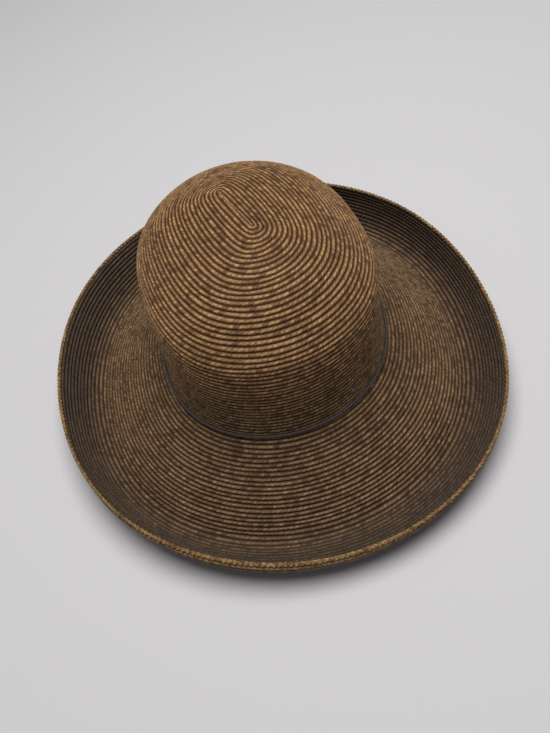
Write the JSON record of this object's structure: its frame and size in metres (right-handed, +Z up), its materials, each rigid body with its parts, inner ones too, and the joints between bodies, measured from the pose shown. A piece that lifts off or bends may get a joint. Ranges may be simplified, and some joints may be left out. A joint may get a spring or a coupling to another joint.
{
  "type": "breton hat",
  "caption": "Breton hat of sewn straw braid with a deep round crown and a wide brim that slopes down, turns up all round and rolls over at the back; it rests on its brim.",
  "frame": {"origin": "middle of the hat's outline, on the surface that its brim rests on", "axes": "+Z up through the crown; the wearer faces -Y and the wearer's left is +X"},
  "size_m": [0.3432, 0.3718, 0.152],
  "materials": {
    "straw_braid": "sewn rows of two-tone straw braid, dry and slightly glossy on the straws",
    "edge_straw": "the same braid, lighter, lapped over the edge",
    "cotton_cord": "matt twisted cord"
  },
  "bodies": {
    "root": {"crown": "straw_braid", "headline_cord": "cotton_cord", "brim": "straw_braid", "edge_braid": "edge_straw"}
  },
  "joints": []
}
